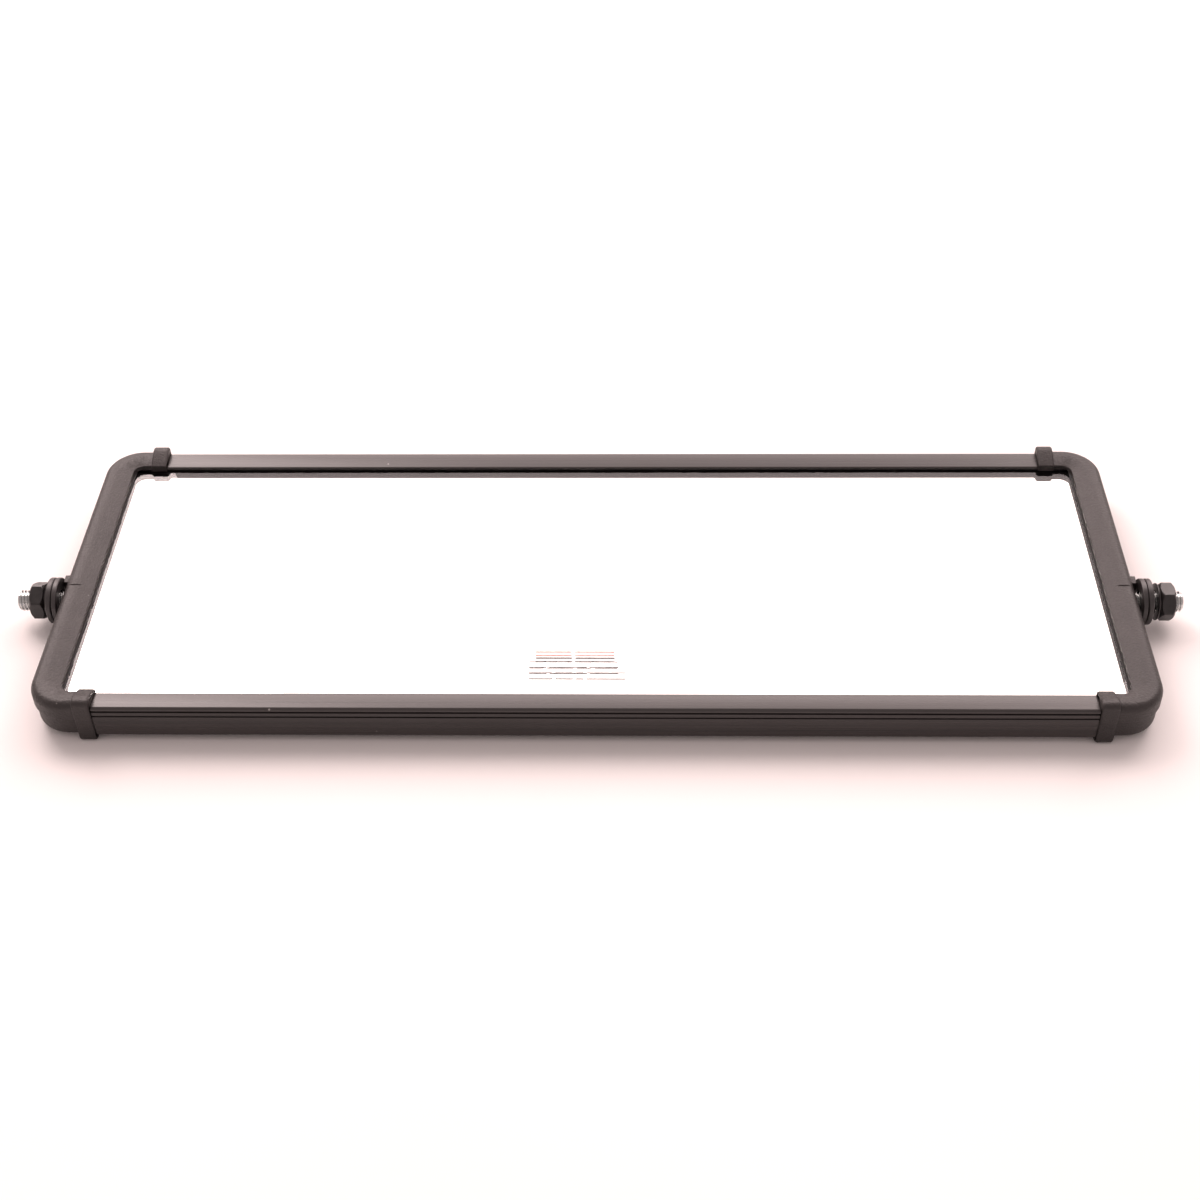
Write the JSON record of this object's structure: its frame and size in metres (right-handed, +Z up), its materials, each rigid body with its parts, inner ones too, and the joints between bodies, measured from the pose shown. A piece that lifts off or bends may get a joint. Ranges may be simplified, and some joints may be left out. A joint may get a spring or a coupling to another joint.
{
  "type": "vehicle mirror head",
  "caption": "Flat rectangular vehicle mirror head with black extruded side rails, moulded two-shell end caps and a threaded stud with washers and a nut at each end.",
  "frame": {"origin": "middle of the head in plan, on the surface that the collars of its end caps rest on", "axes": "+X along the head, +Y across it away from the stud line, +Z up through the glass"},
  "size_m": [0.4436, 0.1524, 0.0196],
  "materials": {
    "mirror_glass": "clear float glass silvered on its back face",
    "black_foam": "closed-cell foam",
    "black_painted_steel": "satin black paint on sheet steel",
    "black_anodised_aluminium": "black anodised extrusion, satin, with fine draw lines",
    "glazing_rubber": "matte black rubber",
    "cap_plastic": "black moulded plastic with a fine grain",
    "zinc_steel": "bright zinc plate",
    "black_oxide_steel": "black oxide, slightly oily"
  },
  "bodies": {
    "head": {"mirror_glass": "mirror_glass", "foam_backing_pad": "black_foam", "back_panel": "black_painted_steel", "lower_rail": "black_anodised_aluminium", "upper_rail": "black_anodised_aluminium", "lower_glazing_strip": "glazing_rubber", "upper_glazing_strip": "glazing_rubber", "left_glazing_strip": "glazing_rubber", "right_glazing_strip": "glazing_rubber", "left_cap_front_shell": "cap_plastic", "left_cap_back_shell": "cap_plastic", "right_cap_front_shell": "cap_plastic", "right_cap_back_shell": "cap_plastic", "cap_screws": "zinc_steel", "left_stud_plate": "zinc_steel", "right_stud_plate": "zinc_steel", "left_stud": "zinc_steel", "right_stud": "zinc_steel"},
    "left_inner_washer": {"left_inner_washer": "black_oxide_steel"},
    "left_outer_washer": {"left_outer_washer": "black_oxide_steel"},
    "left_nut_washer": {"left_nut_washer": "black_oxide_steel"},
    "left_nut": {"left_nut": "black_oxide_steel"},
    "right_inner_washer": {"right_inner_washer": "black_oxide_steel"},
    "right_outer_washer": {"right_outer_washer": "black_oxide_steel"},
    "right_nut_washer": {"right_nut_washer": "black_oxide_steel"},
    "right_nut": {"right_nut": "black_oxide_steel"}
  },
  "joints": [
    {"name": "left_inner_washer_slide", "type": "slide", "parent": "head", "child": "left_inner_washer", "axis": [-1, 0, 0], "range_m": [0, 0.0018]},
    {"name": "left_outer_washer_slide", "type": "slide", "parent": "left_inner_washer", "child": "left_outer_washer", "axis": [-1, 0, 0], "range_m": [0, 0.0018]},
    {"name": "left_nut_travel", "type": "slide", "parent": "head", "child": "left_nut_washer", "axis": [-1, 0, 0], "range_m": [0, 0.00502]},
    {"name": "left_nut_turn", "type": "hinge", "parent": "left_nut_washer", "child": "left_nut", "pos_m": [-0.2137, -0.0102, 0.01], "axis": [-1, 0, 0], "range_deg": [0, 1440]},
    {"name": "right_inner_washer_spin", "type": "hinge", "parent": "head", "child": "right_inner_washer", "pos_m": [0.2064, -0.0102, 0.01], "axis": [1, 0, 0], "continuous": true},
    {"name": "right_outer_washer_spin", "type": "hinge", "parent": "head", "child": "right_outer_washer", "pos_m": [0.2086, -0.0102, 0.01], "axis": [1, 0, 0], "continuous": true},
    {"name": "right_nut_travel", "type": "slide", "parent": "head", "child": "right_nut_washer", "axis": [1, 0, 0], "range_m": [-0.00188, 0.00313]},
    {"name": "right_nut_turn", "type": "hinge", "parent": "right_nut_washer", "child": "right_nut", "pos_m": [0.2157, -0.0102, 0.01], "axis": [1, 0, 0], "range_deg": [-540, 900]}
  ],
  "couplings": [
    {"joint": "left_nut_travel", "follows": "left_nut_turn", "m_per_rad": 0.00019894},
    {"joint": "left_inner_washer_slide", "follows": "left_nut_turn", "m_per_rad": 0.000066315},
    {"joint": "left_outer_washer_slide", "follows": "left_nut_turn", "m_per_rad": 0.000066315},
    {"joint": "right_nut_travel", "follows": "right_nut_turn", "m_per_rad": 0.00019894}
  ]
}
